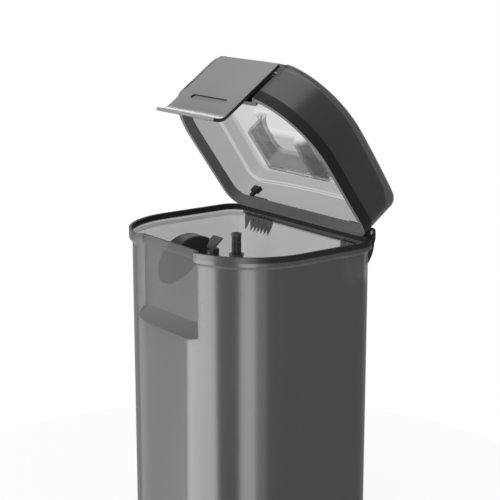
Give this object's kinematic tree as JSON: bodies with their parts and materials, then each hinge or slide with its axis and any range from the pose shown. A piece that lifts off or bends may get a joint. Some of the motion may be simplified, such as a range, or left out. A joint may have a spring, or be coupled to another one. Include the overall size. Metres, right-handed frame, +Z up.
{
  "type": "vacuum clean water tank",
  "caption": "Clear smoked water tank of a floor-washing vacuum dock: D-shaped body, hinged domed lid with hand well, front latch plate, level float, riser tube and floor outlet valve.",
  "frame": {"origin": "middle of the tank's base, on the plane it rests on", "axes": "+Z up; -Y is the front, with the latch; X runs along the lid's hinge line"},
  "size_m": [0.175, 0.1561, 0.3673],
  "materials": {
    "smoked_tank": "gloss",
    "smoked_lid": "gloss",
    "seal_rubber": "satin",
    "latch_grey": "satin",
    "steel": "satin",
    "pale_plastic": "satin",
    "dark_plastic": "satin",
    "float_plastic": "satin",
    "magnet": "satin"
  },
  "bodies": {
    "tank": {"tank_body": "smoked_tank", "hinge_pin_left": "steel", "hinge_pin_right": "steel", "riser_tube": "pale_plastic", "riser_end_ring": "pale_plastic", "riser_pipe": "pale_plastic", "float_post": "dark_plastic", "post_cap": "dark_plastic", "float_bracket": "dark_plastic", "float_pin": "steel", "outlet_housing": "dark_plastic", "outlet_seal": "seal_rubber", "outlet_spring": "steel", "outlet_strainer": "pale_plastic"},
    "lid": {"lid_shell": "smoked_lid", "lid_seal": "seal_rubber", "hinge_clip": "dark_plastic", "latch_pin": "steel", "latch_spring_left": "steel", "latch_spring_right": "steel"},
    "latch": {"latch_plate": "latch_grey"},
    "level_float": {"float_body": "float_plastic", "float_magnet": "magnet"},
    "plunger": {"outlet_plunger": "pale_plastic"}
  },
  "joints": [
    {"name": "lid_hinge", "type": "hinge", "parent": "tank", "child": "lid", "pos_m": [0, 0.0688, 0.24295], "axis": [-1, 0, 0], "range_deg": [-54.8, 40]},
    {"name": "latch_hinge", "type": "hinge", "parent": "lid", "child": "latch", "pos_m": [0, 0.00917, 0.35967], "axis": [-1, 0, 0], "range_deg": [0, 26], "stiffness_Nm_per_rad": 0.12, "springref_deg": -20.05},
    {"name": "float_hinge", "type": "hinge", "parent": "tank", "child": "level_float", "pos_m": [-0.058, 0.01229, 0.21057], "axis": [-1, 0, 0], "range_deg": [0, 15]},
    {"name": "plunger_slide", "type": "slide", "parent": "tank", "child": "plunger", "axis": [0, 0, 1], "range_m": [0, 0.003], "stiffness_N_per_m": 300, "springref_m": -0.004, "deforming": ["outlet_spring"]}
  ]
}
